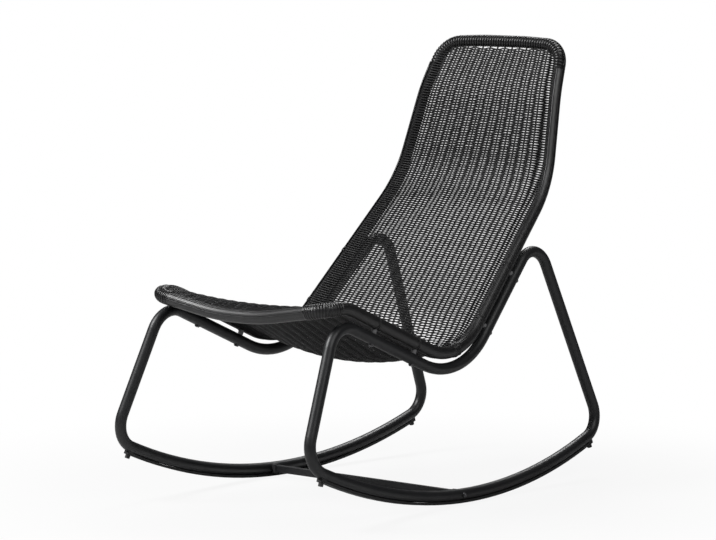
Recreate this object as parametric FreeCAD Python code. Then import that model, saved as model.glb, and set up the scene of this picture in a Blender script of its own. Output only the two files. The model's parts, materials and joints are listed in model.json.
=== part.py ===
import FreeCAD, Part
import math
import os

from FreeCAD import Vector

# A sling rocking chair. A woven resin sling hangs in a bent tube seat frame, which is bolted through
# spacers onto two closed loops of steel tube whose bottom runs are the rockers.
# Sizes are in millimetres. X is the sitter's left, the chair faces -Y and Z is up from the floor.

# Side frames, one closed tube loop each
TUBE_OD = 25.0
TUBE_WALL = 1.5
HALF_TRACK = 279.0  # from the middle plane to the tube's axis plane, at the floor
LEAN = 5.1  # degrees that each loop leans inwards
TOE = 1.2  # degrees that the loops close up towards the back
ROCKER_R = 1270.0  # along the tube's axis
BALANCE_Y = 39.0  # where the rockers touch the floor

# A side frame's outline in its own plane, from the corner under the sitter's hips
LOW_POINT = (14.0, 259.0)  # back and up
SEAT_RUN = 435.0  # forwards to the front top corner
SEAT_RISE = 23.4  # degrees
BACK_RUN = 429.0  # backwards to the rear top corner
BACK_RISE = 44.9
FRONT_RAKE = 23.8  # degrees of the front leg off the upright
REAR_RAKE = 23.2
FRONT_FOOT_BEND = 58.0
FRONT_TOP_BEND = 62.0
LOW_BEND = 192.0
REAR_TOP_BEND = 53.0
REAR_FOOT_BEND = 52.0

# Seat frame, a bent tube loop wound with resin strand
RAIL_OD = 22.0
RAIL_WALL = 1.2
WRAP_T = 2.8
WRAP_CLEAR = 0.2  # under the wrap, and under the bindings over it
WRAP_SEAM = 0.3  # between the ends of two wraps
FRAME_GAP = 8.5  # clear space between the wound rail and the side frame
FRONT_REACH = 65.0  # from the knee forwards to the front rail
FRONT_DIP = 30.0
FRONT_DIP_HALF = 60.0
FRONT_DIP_BEND = 600.0
FRONT_CORNER_BEND = 40.0
KNEE_RUN = 102.0  # from the front seat joint to the knee
KNEE_BEND = 90.0
SHOULDER_RUN = 235.0  # from the upper back joint to the shoulder
SHOULDER_BEND = 280.0
UPPER_BACK_RISE = 73.5  # degrees
UPPER_BACK_RUN = 215.0
NECK_BEND = 400.0
NECK_INSET = 5.0  # inwards from the plane of the side frame
HEADREST_RISE = 65.4
HEADREST_RUN = 117.0
TOP_INSET = 11.0
TOP_CORNER_BEND = 56.0
TOP_ARCH = 5.0
TOP_ARCH_HALF = 60.0
TOP_ARCH_BEND = 900.0

# Woven sling, hung between the rails
WEAVE_T = 4.0
WEAVE_CLEAR = 0.3
WEAVE_REST = 6.0  # how far the sheet's edges lie towards the sitter from the rails' axes
# How far the sheet's middle hangs away from the sitter, from the plane of the rails' axes
FRONT_SAG = 24.0
KNEE_SAG = 8.5
LOW_SAG = 40.0
LOWER_BACK_SAG = -8.0
SHOULDER_SAG = -26.0
NECK_SAG = -10.0
TOP_SAG = 0.0
STATION_PITCH = 22.0

# Bindings wound over the rail's wrap
BINDING_T = 1.2
CORNER_BINDING_L = 13.0  # along the front rail, up to its corner bend
CORNER_BINDING_TURN = 88.0  # degrees, and on into the bend
BEND_BINDING_FROM = 7.0  # degrees past the lowest point of the low bend
BEND_BINDING_SPAN = 8.0

# Bolted joints between the side frames and the seat frame, from the nearest bend of the side frame
REAR_SEAT_JOINT = 40.5
FRONT_SEAT_JOINT = 63.5
LOWER_BACK_JOINT = 20.5
UPPER_BACK_JOINT = 50.0
BOLT_D = 6.0
BOLT_SLIP = 0.3  # all round the bolt, in each hole it passes through
BOLT_HEAD_D = 10.5
BOLT_HEAD_H = 2.2
WASHER_D = 12.0
WASHER_T = 0.8
SPACER_WALL = 0.8  # round the pocket for the insert's flange
INSERT_WALL = 0.8
INSERT_LIP = 1.0
INSERT_FLANGE_T = 0.8
INSERT_L = 12.0
FIT = 0.2  # clearance at each seated face
SLIP = 0.2  # clearance round pieces that drop into a hole

# Crossbar between the rockers
BAR_Y = -12.0
BAR_H = 16.0
BAR_W = 11.0
BAR_WALL = 1.2
SADDLE_T = 5.0
SADDLE_LIP = 1.5
PLUG_L = 24.0
BAR_HEAD_D = 11.0
BAR_HEAD_H = 3.5

# Glide strips under the rockers, and the stops at their ends
STRIP_W = 14.0
STRIP_T = 5.8
STRIP_CLEAR = 0.2
STOP_L = 14.0
STOP_W = 15.0
STOP_LEDGE_T = 6.0
STOP_BOSS_D = 11.0
STOP_BOSS_H = 8.0
SCREW_D = 3.5
SCREW_HEAD_D = 7.0
SCREW_HEAD_T = 2.4
SCREW_INSIDE = 6.0  # screw length beyond the tube's outer face

# Worked out from the sizes above
TUBE_R = TUBE_OD / 2
RAIL_R = RAIL_OD / 2
WRAP_R = RAIL_R + WRAP_CLEAR + WRAP_T
BINDING_R = WRAP_R + WRAP_CLEAR + BINDING_T
RAIL_OFFSET = TUBE_R + FRAME_GAP + WRAP_R
BOLT_HOLE_D = BOLT_D + 2 * BOLT_SLIP
INSERT_BORE_D = BOLT_D + 2 * FIT
INSERT_D = INSERT_BORE_D + 2 * INSERT_WALL
INSERT_FLANGE_D = INSERT_D + 2 * INSERT_LIP
SPACER_D = INSERT_FLANGE_D + 2 * SLIP + 2 * SPACER_WALL
AXIS_LOW = STRIP_T + STRIP_CLEAR + TUBE_R
FLOOR_LIFT = STRIP_W / 2 * math.sin(math.radians(LEAN))

MIDDLE = Vector(0, 0, 0)
ACROSS = Vector(1, 0, 0)


def turned(vector):
    """A direction of the side frame's plane, leaned inwards and toed."""
    lean = FreeCAD.Rotation(Vector(0, 1, 0), -LEAN)
    toe = FreeCAD.Rotation(Vector(0, 0, 1), TOE)
    return toe.multVec(lean.multVec(vector))


BACKWARDS = turned(Vector(0, 1, 0))
UPWARDS = turned(Vector(0, 0, 1))
OUTWARDS = turned(Vector(1, 0, 0))
PLANE_BASE = Vector(HALF_TRACK, 0, FLOOR_LIFT)


def side(back, up, out=0.0):
    """A point of the left side frame's plane, moved out along its normal."""
    return PLANE_BASE + BACKWARDS * back + UPWARDS * up + OUTWARDS * out


def direction(angle):
    """A unit direction in the side frame's plane, from the level backwards."""
    return BACKWARDS * math.cos(math.radians(angle)) + UPWARDS * math.sin(math.radians(angle))


def beyond(point, angle, distance):
    """The plane point at a distance from another, in a direction given in degrees."""
    turn = math.radians(angle)
    return point[0] + distance * math.cos(turn), point[1] + distance * math.sin(turn)


def bend_reach(radius, turn):
    """How far from its corner a bend starts, for a turn in degrees."""
    return radius * math.tan(math.radians(turn) / 2)


SEAT_ANGLE = 180 - SEAT_RISE
BACK_ANGLE = BACK_RISE
FRONT_TOP = beyond(LOW_POINT, SEAT_ANGLE, SEAT_RUN)
REAR_TOP = beyond(LOW_POINT, BACK_ANGLE, BACK_RUN)


def mirrored(shape):
    return shape.mirror(MIDDLE, ACROSS)


def bend(before, corner, after, radius):
    """Start, middle and end of the arc that rounds a corner."""
    one = (before - corner).normalize()
    two = (after - corner).normalize()
    half = one.getAngle(two) / 2
    reach = radius / math.tan(half)
    inward = (one + two).normalize()
    centre = corner + inward * (radius / math.sin(half))
    return corner + one * reach, centre - inward * radius, corner + two * reach


def line(start, end):
    return Part.LineSegment(start, end).toShape()


def arc(start, middle, end):
    return Part.Arc(start, middle, end).toShape()


def rounded(corners, radii, closed):
    """Edges of a path through corner points, each rounded by its radius."""
    count = len(corners)
    inner = range(count) if closed else range(1, count - 1)
    bends = [bend(corners[i - 1], corners[i], corners[(i + 1) % count], radii[i]) for i in inner]
    edges = []
    if not closed:
        edges.append(line(corners[0], bends[0][0]))
    for here, there in zip(bends, bends[1:]):
        edges.append(arc(*here))
        edges.append(line(here[2], there[0]))
    edges.append(arc(*bends[-1]))
    edges.append(line(bends[-1][2], bends[0][0] if closed else corners[-1]))
    return edges


def ring_face(point, along, outer, inner):
    outline = Part.Wire(Part.makeCircle(outer, point, along))
    if not inner:
        return Part.Face(outline)
    hole = Part.Wire(Part.makeCircle(inner, point, along))
    return Part.makeFace([outline, hole], "Part::FaceMakerBullseye")


def run(edge, outer, inner):
    """The stretch of a tube along one straight or round edge."""
    first, last = edge.FirstParameter, edge.LastParameter
    face = ring_face(edge.valueAt(first), edge.tangentAt(first), outer, inner)
    if edge.Curve.TypeId == "Part::GeomCircle":
        return face.revolve(edge.Curve.Center, edge.Curve.Axis, math.degrees(last - first))
    return face.extrude(edge.valueAt(last) - edge.valueAt(first))


def tube(edges, outer, inner=0.0):
    runs = [run(edge, outer, inner) for edge in edges]
    whole = runs[0] if len(runs) == 1 else runs[0].multiFuse(runs[1:]).removeSplitter()
    return whole.Solids[0]


def rod(start, along, length, diameter):
    return Part.makeCylinder(diameter / 2, length, start, along)


def rocker_centre():
    return BALANCE_Y, AXIS_LOW + ROCKER_R


def foot_bend(top, rake, radius, towards):
    """The bend from a leg into the rocker, as plane points on leg, middle and rocker.

    towards is 1 where the loop lies behind the leg and -1 where it lies in front of it.
    """
    down = (-towards * math.sin(math.radians(rake)), -math.cos(math.radians(rake)))
    inward = (towards * math.cos(math.radians(rake)), -math.sin(math.radians(rake)))
    centre = rocker_centre()
    from_centre = (top[0] + radius * inward[0] - centre[0], top[1] + radius * inward[1] - centre[1])
    along = from_centre[0] * down[0] + from_centre[1] * down[1]
    square = from_centre[0] ** 2 + from_centre[1] ** 2
    reach = -along + math.sqrt(along ** 2 - square + (ROCKER_R - radius) ** 2)
    hub = (
        centre[0] + from_centre[0] + down[0] * reach,
        centre[1] + from_centre[1] + down[1] * reach,
    )
    on_leg = (hub[0] - radius * inward[0], hub[1] - radius * inward[1])
    out = math.hypot(hub[0] - centre[0], hub[1] - centre[1])
    to_floor = ((hub[0] - centre[0]) / out, (hub[1] - centre[1]) / out)
    on_rocker = (hub[0] + radius * to_floor[0], hub[1] + radius * to_floor[1])
    middle = (to_floor[0] - inward[0], to_floor[1] - inward[1])
    length = math.hypot(*middle)
    on_bend = (hub[0] + radius * middle[0] / length, hub[1] + radius * middle[1] / length)
    return on_leg, on_bend, on_rocker


FRONT_FOOT = foot_bend(FRONT_TOP, FRONT_RAKE, FRONT_FOOT_BEND, 1)
REAR_FOOT = foot_bend(REAR_TOP, REAR_RAKE, REAR_FOOT_BEND, -1)


def rocker_angle(point):
    """Degrees along the rocker from where it touches the floor, positive backwards."""
    centre = rocker_centre()
    return math.degrees(math.atan2(point[0] - centre[0], centre[1] - point[1]))


def on_rocker(angle, radius, out=0.0):
    """A point at a radius from the rocker's centre."""
    centre = rocker_centre()
    turn = math.radians(angle)
    return side(centre[0] + radius * math.sin(turn), centre[1] - radius * math.cos(turn), out)


def side_path():
    """Edges of the left side frame's axis."""
    front, rear = side(*FRONT_TOP), side(*REAR_TOP)
    low = side(*LOW_POINT)
    foot, heel = side(*FRONT_FOOT[0]), side(*REAR_FOOT[0])
    top = rounded([foot, front, low, rear, heel], [0, FRONT_TOP_BEND, LOW_BEND, REAR_TOP_BEND, 0], False)
    rear_bend = arc(*[side(*point) for point in REAR_FOOT])
    middle = on_rocker((rocker_angle(FRONT_FOOT[2]) + rocker_angle(REAR_FOOT[2])) / 2, ROCKER_R)
    rocker = arc(side(*REAR_FOOT[2]), middle, side(*FRONT_FOOT[2]))
    front_bend = arc(*[side(*point) for point in reversed(FRONT_FOOT)])
    return top + [rear_bend, rocker, front_bend]


def offset_corner(corner, first_angle, second_angle, distance):
    """The plane point of an inner offset at a corner between two directions out of it."""
    half = math.radians(first_angle - second_angle) / 2
    middle = math.radians(first_angle + second_angle) / 2
    reach = distance / math.sin(half)
    return corner[0] + reach * math.cos(middle), corner[1] + reach * math.sin(middle)


RAIL_LOW = offset_corner(LOW_POINT, SEAT_ANGLE, BACK_ANGLE, RAIL_OFFSET)


def joint_distances():
    """Each bolted joint's distance from the low corner, along the seat run and the back run."""
    low = bend_reach(LOW_BEND, 180 - SEAT_ANGLE + BACK_ANGLE)
    front = bend_reach(FRONT_TOP_BEND, 90 + SEAT_RISE - FRONT_RAKE)
    rear = bend_reach(REAR_TOP_BEND, 90 + BACK_RISE - REAR_RAKE)
    seat = {"rear_seat": low + REAR_SEAT_JOINT, "front_seat": SEAT_RUN - front - FRONT_SEAT_JOINT}
    back = {"lower_back": low + LOWER_BACK_JOINT, "upper_back": BACK_RUN - rear - UPPER_BACK_JOINT}
    return seat, back


def joint_places():
    """Where the left side frame is bolted: a point on the tube's axis and the way to the rail."""
    seat, back = joint_distances()
    places = {}
    for name, distance in seat.items():
        places[name] = (side(*beyond(LOW_POINT, SEAT_ANGLE, distance)), direction(SEAT_ANGLE - 90))
    for name, distance in back.items():
        places[name] = (side(*beyond(LOW_POINT, BACK_ANGLE, distance)), direction(BACK_ANGLE + 90))
    return places


JOINTS = joint_places()


def rail_corners():
    """Corner points and bends of the left rail, from the front corner to the top corner."""
    seat, back = joint_distances()
    beside_seat = beyond(beyond(LOW_POINT, SEAT_ANGLE, seat["front_seat"]), SEAT_ANGLE - 90, RAIL_OFFSET)
    beside_back = beyond(beyond(LOW_POINT, BACK_ANGLE, back["upper_back"]), BACK_ANGLE + 90, RAIL_OFFSET)
    knee = beyond(beside_seat, SEAT_ANGLE, KNEE_RUN)
    shoulder = beyond(beside_back, BACK_ANGLE, SHOULDER_RUN)
    neck = beyond(shoulder, UPPER_BACK_RISE, UPPER_BACK_RUN)
    top = beyond(neck, HEADREST_RISE, HEADREST_RUN)
    corners = [
        side(knee[0] - FRONT_REACH, knee[1]),
        side(*knee),
        side(*RAIL_LOW),
        side(*shoulder),
        side(*neck, -NECK_INSET),
        side(*top, -TOP_INSET),
    ]
    radii = [
        FRONT_CORNER_BEND,
        KNEE_BEND,
        LOW_BEND - RAIL_OFFSET,
        SHOULDER_BEND,
        NECK_BEND,
        TOP_CORNER_BEND,
    ]
    return corners, radii


CORNERS, RADII = rail_corners()


def across(point):
    return Vector(-point.x, point.y, point.z)


def seat_frame_path():
    """Edges of the seat frame's axis: half the front rail, up the left side, and round the right."""
    dip = Vector(FRONT_DIP_HALF, CORNERS[0].y, CORNERS[0].z - FRONT_DIP)
    arch = Vector(TOP_ARCH_HALF, CORNERS[-1].y, CORNERS[-1].z + TOP_ARCH)
    left = [dip] + CORNERS + [arch]
    radii = [FRONT_DIP_BEND] + RADII + [TOP_ARCH_BEND]
    right = [across(point) for point in reversed(left)]
    return rounded(left + right, radii + radii[::-1], True)


SEAT_PATH = seat_frame_path()
# The path's edges run: dip bend, run, corner bend; the left rail from straight to straight; top
# corner bend, run, arch bend, run, arch bend, run, top corner bend; then down the right rail.
FRONT_EDGES = 3
RAIL_EDGES = 2 * len(CORNERS) - 3
TOP_EDGES = 7


def trimmed(edges, length):
    """The same path, its straight first and last edges each shorter by a length."""
    first, last = edges[0], edges[-1]
    start = first.valueAt(first.FirstParameter + length)
    end = last.valueAt(last.LastParameter - length)
    head = line(start, first.valueAt(first.LastParameter))
    tail = line(last.valueAt(last.FirstParameter), end)
    return [head] + edges[1:-1] + [tail]


def path_part(name):
    """Edges of the seat frame's path that one wrap covers."""
    left_end = FRONT_EDGES + RAIL_EDGES
    top_end = left_end + TOP_EDGES
    right_end = top_end + RAIL_EDGES
    parts = {
        "left": trimmed(SEAT_PATH[FRONT_EDGES:left_end], WRAP_SEAM),
        "top": SEAT_PATH[left_end:top_end],
        "right": trimmed(SEAT_PATH[top_end:right_end], WRAP_SEAM),
        "front": SEAT_PATH[right_end:] + SEAT_PATH[:FRONT_EDGES],
    }
    return parts[name]


def bar_axis_z():
    """Height of the tube's axis where the crossbar meets it."""
    centre = rocker_centre()
    low = centre[1] - math.sqrt(ROCKER_R ** 2 - (BAR_Y - centre[0]) ** 2)
    return side(BAR_Y, low)


BAR_END = bar_axis_z()


def stop_places():
    """Where the strip's end stops sit on the left rocker: name to angle along it."""
    return {"front": rocker_angle(FRONT_FOOT[2]), "rear": rocker_angle(REAR_FOOT[2])}


def side_frame():
    """Left loop of tube with its bolt, crossbar and screw holes."""
    frame = tube(side_path(), TUBE_R, TUBE_R - TUBE_WALL)
    tools = [rod(point - way * TUBE_OD, way, 2 * TUBE_OD, BOLT_HOLE_D) for point, way in JOINTS.values()]
    tools.append(rod(BAR_END - ACROSS * TUBE_OD, ACROSS, 2 * TUBE_OD, BOLT_HOLE_D))
    for angle in stop_places().values():
        start = on_rocker(angle, ROCKER_R)
        tools.append(rod(start, on_rocker(angle, ROCKER_R + 1) - start, TUBE_OD, SCREW_D + SLIP))
    return frame.cut(Part.makeCompound(tools)).Solids[0]


def seat_tube():
    """The seat frame's tube loop, drilled for the threaded inserts."""
    frame = tube(SEAT_PATH, RAIL_R, RAIL_R - RAIL_WALL)
    reach = RAIL_OFFSET - TUBE_R
    holes = [rod(point + way * TUBE_R, way, reach, INSERT_D + SLIP) for point, way in JOINTS.values()]
    holes += [mirrored(hole) for hole in holes]
    return frame.cut(Part.makeCompound(holes)).Solids[0]


def rail_wrap(name):
    """Sleeve of wound strand on one stretch of the seat frame, open round each spacer."""
    sleeve = tube(path_part(name), WRAP_R, WRAP_R - WRAP_T)
    if name in ("left", "right"):
        holes = [rod(point, way, RAIL_OFFSET, SPACER_D + 2 * SLIP) for point, way in JOINTS.values()]
        if name == "right":
            holes = [mirrored(hole) for hole in holes]
        sleeve = sleeve.cut(Part.makeCompound(holes)).Solids[0]
    return sleeve


def corner_edges(extra=0.0):
    """Stretch of the front rail's axis under the binding, and on into the left corner bend."""
    straight, corner = SEAT_PATH[1], SEAT_PATH[2]
    middle = straight.valueAt(straight.LastParameter)
    way = straight.tangentAt(straight.FirstParameter)
    first = corner.FirstParameter
    last = first + math.radians(CORNER_BINDING_TURN) + extra / FRONT_CORNER_BEND
    turn = arc(middle, corner.valueAt((first + last) / 2), corner.valueAt(last))
    return [line(middle - way * (CORNER_BINDING_L + extra), middle), turn]


def bend_edges(extra=0.0):
    """Stretch of the left rail's axis under the binding, just behind the low bend's lowest point."""
    radius = LOW_BEND - RAIL_OFFSET
    upwards = (SEAT_ANGLE + BACK_ANGLE) / 2
    half = math.radians(SEAT_ANGLE - BACK_ANGLE) / 2
    centre = beyond(RAIL_LOW, upwards, radius / math.sin(half))
    more = math.degrees(extra / radius)
    first = BEND_BINDING_FROM - more - 90
    last = BEND_BINDING_FROM + BEND_BINDING_SPAN + more - 90
    return [arc(*[side(*beyond(centre, angle, radius)) for angle in (first, (first + last) / 2, last)])]


def binding(edges):
    """Short winding over the rail's wrap."""
    return tube(edges, BINDING_R, BINDING_R - BINDING_T)


def profile_stations():
    """Points and directions down the left rail's profile, from the front rail to the top rail."""
    edges = rounded(CORNERS, RADII, False)
    stations = []
    for edge in edges:
        steps = max(1, round(edge.Length / STATION_PITCH))
        for step in range(steps):
            at = edge.FirstParameter + (edge.LastParameter - edge.FirstParameter) * step / steps
            stations.append((edge.valueAt(at), edge.tangentAt(at)))
    last = edges[-1]
    stations.append((last.valueAt(last.LastParameter), last.tangentAt(last.LastParameter)))
    return stations


def sag_places():
    """Points along the left rail's outline, each with the sling's hang there."""
    point, way = JOINTS["lower_back"]
    beside_joint = point + way * RAIL_OFFSET
    sags = [FRONT_SAG, KNEE_SAG, LOW_SAG, LOWER_BACK_SAG, SHOULDER_SAG, NECK_SAG, TOP_SAG]
    return list(zip(CORNERS[:3] + [beside_joint] + CORNERS[3:], sags))


def sag_at(rail_point):
    """The sling's hang beside a point of the rail, eased from place to place."""
    places = sag_places()
    best = None
    for (start, first), (end, second) in zip(places, places[1:]):
        step = end - start
        share = (rail_point - start).dot(step) / step.Length ** 2
        share = min(1.0, max(0.0, share))
        away = (rail_point - (start + step * share)).Length
        if best is None or away < best[0]:
            best = (away, first + (second - first) * (1 - math.cos(math.pi * share)) / 2)
    return best[1]


def hang(start, middle, end):
    """Parabola from one point to another whose middle is given."""
    curve = Part.BezierCurve()
    curve.setPoles([start, middle * 2 - (start + end) * 0.5, end])
    return curve.toShape()


def sling_section(point, along):
    """Cross-section of the sling at one station: two parabolas a sheet's thickness apart."""
    out = Vector(0, along.z, -along.y).normalize()
    sag = sag_at(point)
    faces = []
    for level in (-WEAVE_T / 2, WEAVE_T / 2):
        edge = point + out * (level - WEAVE_REST)
        middle = Vector(0, point.y, point.z) + out * (sag + level)
        faces.append((edge, middle, across(edge)))
    upper = hang(*faces[0])
    lower = hang(*reversed(faces[1]))
    return Part.Wire([upper, line(faces[0][2], faces[1][2]), lower, line(faces[1][0], faces[0][0])])


def woven_sling():
    """Seat and back of the sling, cut clear of the wound rails, as one sheet in two pieces."""
    stations = profile_stations()
    lowest = min(range(len(stations)), key=lambda i: stations[i][0].z)
    point, along = stations[lowest]
    seam = along * (WEAVE_CLEAR / 2)
    halves = [
        stations[:lowest] + [(point - seam, along)],
        [(point + seam, along)] + stations[lowest + 1:],
    ]
    rail = tube(SEAT_PATH, WRAP_R + WEAVE_CLEAR)
    bands = [corner_edges(WEAVE_CLEAR), bend_edges(WEAVE_CLEAR)]
    bands = [tube(band, BINDING_R + WEAVE_CLEAR) for band in bands]
    bands += [mirrored(band) for band in bands]
    pieces = []
    for half in halves:
        sheet = Part.makeLoft([sling_section(*station) for station in half], True, True)
        sheet = sheet.cut(rail)
        for band in bands:
            sheet = sheet.cut(band)
        pieces.append(max(sheet.Solids, key=lambda solid: solid.Volume))
    return pieces


def spacer(name):
    """Tube spacer, hollowed at both ends to fit the round tubes."""
    point, way = JOINTS[name]
    body = rod(point, way, RAIL_OFFSET, SPACER_D)
    body = body.cut(rod(point, way, RAIL_OFFSET, BOLT_HOLE_D))
    along = way.cross(OUTWARDS)
    reach = 2 * SPACER_D
    frame = rod(point - along * reach, along, 2 * reach, TUBE_OD + 2 * FIT)
    rail_point = point + way * RAIL_OFFSET
    rail = rod(rail_point - along * reach, along, 2 * reach, RAIL_OD + 2 * FIT)
    flange = RAIL_R + 2 * FIT + INSERT_FLANGE_T + FIT
    pocket = rod(rail_point - way * flange, way, flange, INSERT_FLANGE_D + 2 * SLIP)
    return body.cut(Part.makeCompound([frame, rail, pocket])).Solids[0]


def threaded_insert(name):
    """Flanged insert in the seat tube that the frame bolt screws into."""
    point, way = JOINTS[name]
    face = point + way * (RAIL_OFFSET - RAIL_R - FIT)
    flange = rod(face - way * INSERT_FLANGE_T, way, INSERT_FLANGE_T, INSERT_FLANGE_D)
    body = rod(face - way * INSERT_FLANGE_T, way, INSERT_L, INSERT_D)
    bore = rod(face - way * INSERT_FLANGE_T, way, INSERT_L, INSERT_BORE_D)
    return flange.fuse(body).cut(bore).Solids[0]


def saddle_washer(name):
    """Washer under the bolt's head, hollowed to sit on the round tube."""
    point, way = JOINTS[name]
    seat = TUBE_R + WASHER_T
    body = rod(point - way * seat, way, seat, WASHER_D)
    along = way.cross(OUTWARDS)
    tube_space = rod(point - along * TUBE_OD, along, 2 * TUBE_OD, TUBE_OD + 2 * FIT)
    bore = rod(point - way * seat, way, seat, BOLT_HOLE_D)
    return body.cut(Part.makeCompound([tube_space, bore])).Solids[0]


def frame_bolt(name):
    """Round-headed bolt from below the side frame into the insert."""
    point, way = JOINTS[name]
    seat = point - way * (TUBE_R + WASHER_T + FIT)
    end = RAIL_OFFSET - RAIL_R - FIT - INSERT_FLANGE_T + INSERT_L
    shank = rod(seat, way, TUBE_R + WASHER_T + FIT + end, BOLT_D)
    head = rod(seat - way * BOLT_HEAD_H, way, BOLT_HEAD_H, BOLT_HEAD_D)
    rim = [edge for edge in head.Edges if edge.Curve.TypeId == "Part::GeomCircle"
           and edge.Curve.Center.distanceToPoint(seat) > BOLT_HEAD_H / 2]
    head = head.makeFillet(BOLT_HEAD_H * 0.6, rim)
    socket = rod(seat - way * BOLT_HEAD_H, way, BOLT_HEAD_H * 0.6, BOLT_D * 0.6)
    return head.fuse(shank).cut(socket).Solids[0]


def frame_clearance():
    """Left side frame's envelope near the crossbar, a fit larger than the tube."""
    rocker = next(edge for edge in side_path() if edge.Curve.TypeId == "Part::GeomCircle"
                  and abs(edge.Curve.Radius - ROCKER_R) < 0.01)
    return tube([rocker], TUBE_R + FIT)


BAR_HALF = BAR_END.x - TUBE_R - SADDLE_T


def box_bar(start, end, grow):
    """A bar across the chair on the crossbar's axis, its section grown on every side."""
    height = BAR_H + 2 * grow
    width = BAR_W + 2 * grow
    corner = Vector(start, BAR_END.y - width / 2, BAR_END.z - height / 2)
    return Part.makeBox(end - start, width, height, corner)


def crossbar():
    """Hollow bar that ties the rockers together."""
    body = box_bar(-BAR_HALF, BAR_HALF, 0)
    long_edges = [edge for edge in body.Edges if edge.Length > BAR_HALF]
    body = body.makeFillet(BAR_WALL, long_edges)
    return body.cut(box_bar(-BAR_HALF, BAR_HALF, -BAR_WALL)).Solids[0]


def crossbar_saddle():
    """Moulded seat between the bar's left end and the round rocker, lipped over the bar."""
    body = box_bar(BAR_HALF - SADDLE_T, BAR_END.x, SADDLE_LIP)
    body = body.cut(box_bar(BAR_HALF - SADDLE_T, BAR_HALF + FIT, FIT))
    body = body.cut(frame_clearance())
    body = body.cut(rod(Vector(BAR_HALF - SADDLE_T, BAR_END.y, BAR_END.z), ACROSS, TUBE_OD, BOLT_HOLE_D))
    return min(body.Solids, key=lambda solid: solid.CenterOfMass.x)


def crossbar_plug():
    """Threaded plug inside the bar's left end."""
    start = BAR_HALF - PLUG_L
    body = box_bar(start, BAR_HALF, -BAR_WALL - FIT)
    bore = rod(Vector(start, BAR_END.y, BAR_END.z), ACROSS, PLUG_L, INSERT_BORE_D)
    return body.cut(bore).Solids[0]


def crossbar_bolt():
    """Bolt through the left rocker into the bar's plug, with a head hollowed for the tube."""
    seat = BAR_END + ACROSS * (TUBE_R - 1)
    head = rod(seat, ACROSS, BAR_HEAD_H + 1, BAR_HEAD_D)
    rim = [edge for edge in head.Edges if edge.Curve.TypeId == "Part::GeomCircle"
           and edge.Curve.Center.x > seat.x + BAR_HEAD_H / 2]
    head = head.makeFillet(BAR_HEAD_H * 0.5, rim).cut(frame_clearance())
    tip = Vector(BAR_HALF - PLUG_L / 2, BAR_END.y, BAR_END.z)
    shank = rod(tip, ACROSS, seat.x + BAR_HEAD_H / 2 - tip.x, BOLT_D)
    return max(head.Solids, key=lambda solid: solid.Volume).fuse(shank).Solids[0]


def glide_strip():
    """Flat strip bent along the underside of the left rocker, between its end stops."""
    places = stop_places()
    trim = math.degrees((STOP_L / 2 + FIT) / (ROCKER_R + TUBE_R))
    first, last = places["front"] + trim, places["rear"] - trim
    inner = ROCKER_R + TUBE_R + STRIP_CLEAR
    outer = inner + STRIP_T
    half = STRIP_W / 2
    outline = Part.makePolygon([
        on_rocker(first, inner, -half),
        on_rocker(first, outer, -half),
        on_rocker(first, outer, half),
        on_rocker(first, inner, half),
        on_rocker(first, inner, -half),
    ])
    # The rocker's centre axis points inwards, so that a positive turn runs from front to back
    return Part.Face(outline).revolve(side(*rocker_centre()), OUTWARDS * -1, first - last).Solids[0]


def stop_frame(angle):
    """Place and directions of an end stop: on the tube's underside, outwards and along."""
    start = on_rocker(angle, ROCKER_R + TUBE_R)
    down = (on_rocker(angle, ROCKER_R + TUBE_R + 1) - start).normalize()
    return start, down, down.cross(OUTWARDS)


def end_stop(angle):
    """Moulded stop at one end of the left glide strip, with a round screw boss."""
    start, down, along = stop_frame(angle)
    rotation = FreeCAD.Rotation(along, OUTWARDS, down * -1, "XYZ")
    ledge = Part.makeBox(STOP_L, STOP_W, STOP_LEDGE_T + TUBE_R / 2)
    ledge.translate(Vector(-STOP_L / 2, -STOP_W / 2, -STOP_LEDGE_T))
    ledge.Placement = FreeCAD.Placement(start, rotation).multiply(ledge.Placement)
    boss = rod(start, down, STOP_LEDGE_T + STOP_BOSS_H, STOP_BOSS_D)
    under = start + down * (STOP_LEDGE_T + STOP_BOSS_H)
    head = rod(under - down * SCREW_HEAD_T, down, SCREW_HEAD_T, SCREW_HEAD_D + 2 * SLIP)
    shank = rod(start - down * TUBE_R, down, TUBE_OD * 2, SCREW_D + SLIP)
    body = ledge.fuse(boss).cut(Part.makeCompound([head, shank]))
    body = body.cut(tube(side_path(), TUBE_R + FIT))
    return max(body.Solids, key=lambda solid: solid.Volume)


def stop_screw(angle):
    """Screw through an end stop into the left rocker's wall."""
    start, down, _ = stop_frame(angle)
    under = start + down * (STOP_LEDGE_T + STOP_BOSS_H)
    head = rod(under - down * (SCREW_HEAD_T - FIT), down, SCREW_HEAD_T - FIT, SCREW_HEAD_D)
    shank = rod(start - down * SCREW_INSIDE, down, SCREW_INSIDE + STOP_LEDGE_T + STOP_BOSS_H - FIT, SCREW_D)
    return head.fuse(shank).Solids[0]


def write(name, shape):
    shape.exportStep(os.path.join("parts", name + ".step"))


def write_pair(name, shape):
    """The left piece and its mirror on the right."""
    write(name + "_left", shape)
    write(name + "_right", mirrored(shape))


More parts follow.
